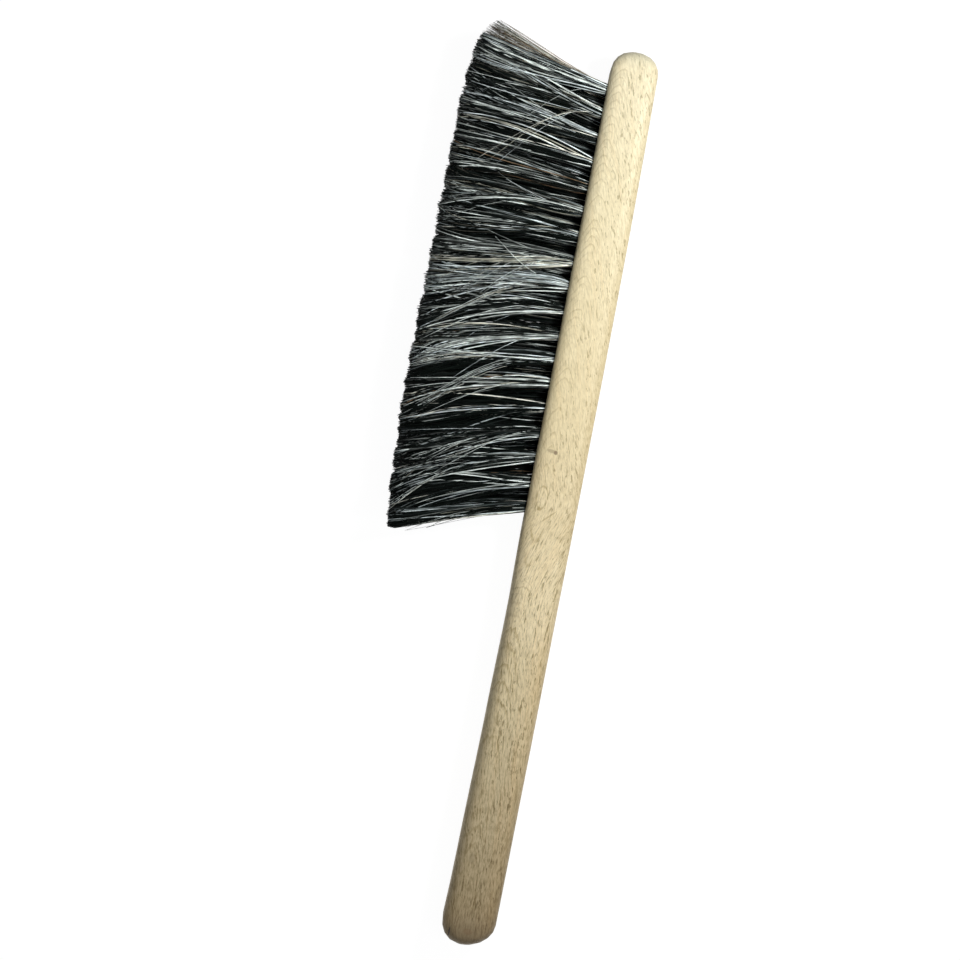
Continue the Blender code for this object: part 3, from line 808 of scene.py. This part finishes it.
def seen_share(tree):
    """1 for rays from the camera, a reflection or clear glass."""
    path = tree.nodes.new("ShaderNodeLightPath")
    share = path.outputs["Is Camera Ray"]
    for other in ("Is Glossy Ray", "Is Transmission Ray"):
        most = tree.nodes.new("ShaderNodeMath")
        most.operation = "MAXIMUM"
        tree.links.new(share, most.inputs[0])
        tree.links.new(path.outputs[other], most.inputs[1])
        share = most.outputs[0]
    return share


def emptied(thing):
    """The node tree of a material or a world, with no nodes in it."""
    thing.use_nodes = True
    thing.node_tree.nodes.clear()
    return thing.node_tree


def shader(tree, kind, colour, strength=None):
    node = tree.nodes.new("ShaderNode" + kind)
    node.inputs["Color"].default_value = (*colour, 1.0)
    if strength is not None:
        node.inputs["Strength"].default_value = strength
    return node.outputs[0]


def show_by_ray(tree, unseen, seen, target):
    """Links the two shaders to the output, the second one for the rays of seen_share."""
    mix, out = tree.nodes.new("ShaderNodeMixShader"), tree.nodes.new("ShaderNodeOutput" + target)
    tree.links.new(seen_share(tree), mix.inputs[0])
    tree.links.new(unseen, mix.inputs[1])
    tree.links.new(seen, mix.inputs[2])
    tree.links.new(mix.outputs[0], out.inputs["Surface"])


def make_world():
    """A soft fill light, a little blue, which is seen as plain white."""
    world = bpy.data.worlds.new("studio")
    bpy.context.scene.world = world
    tree = emptied(world)
    fill = shader(tree, "Background", (0.93, 0.95, 1.0), 0.13)
    white = shader(tree, "Background", (1.0, 1.0, 1.0), 1.0)
    show_by_ray(tree, fill, white, "World")


def make_floor():
    """White paper, which keeps a faint shadow of the brush."""
    half, low = 6.0, -0.05 * MM
    mesh = bpy.data.meshes.new("floor")
    corners = [(-half, -half, low), (half, -half, low), (half, half, low), (-half, half, low)]
    mesh.from_pydata(corners, [], [(0, 1, 2, 3)])
    floor = bpy.data.objects.new("floor", mesh)
    bpy.context.scene.collection.objects.link(floor)
    paper = bpy.data.materials.new("paper")
    tree = emptied(paper)
    lit = shader(tree, "BsdfDiffuse", (0.72, 0.72, 0.72))
    shadowed = shader(tree, "BsdfDiffuse", (0.16, 0.16, 0.16))
    glow = shader(tree, "Emission", (1.0, 1.0, 1.0), 0.96)
    both = tree.nodes.new("ShaderNodeAddShader")
    tree.links.new(shadowed, both.inputs[0])
    tree.links.new(glow, both.inputs[1])
    show_by_ray(tree, lit, both.outputs[0], "Material")
    mesh.materials.append(paper)


def make_camera():
    """Straight above, turned so that the stock leans as it does in the photograph."""
    width_seen, seen_at = 0.4438, 20.0 * MM  # width of the view, at this height above the floor
    height, roll = 1.5, math.radians(11.0)
    data = bpy.data.cameras.new("camera")
    data.sensor_width = 36.0
    data.lens = data.sensor_width * height / width_seen
    data.clip_start, data.clip_end = 0.1, 20.0
    camera = bpy.data.objects.new("camera", data)
    camera.location = (-34.95 * MM, -90.3 * MM, height + seen_at)
    camera.rotation_euler = (0.0, 0.0, roll)
    bpy.context.scene.collection.objects.link(camera)
    bpy.context.scene.camera = camera


def dress_stock(material):
    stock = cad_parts["stock"]
    stock.data.materials.clear()
    stock.data.materials.append(material)
    stock.data.polygons.foreach_set("use_smooth", np.ones(len(stock.data.polygons), bool))
    weld = stock.modifiers.new("weld", "WELD")
    weld.merge_threshold = 0.002 * MM
    normals = stock.modifiers.new("normals", "WEIGHTED_NORMAL")
    normals.weight = 60


make_camera()
make_world()
make_floor()
lamp("key", place=(0.21, 0.10, 0.36), target=(0.0, 0.06, 0.0), size=0.16, power=1.80)
lamp("fill", place=(0.20, -0.29, 0.75), target=(0.0, -0.14, 0.0), size=0.50, power=0.66)
dress_stock(beech())
make_hair(horsehair())

bpy.context.scene.view_settings.view_transform = "Standard"
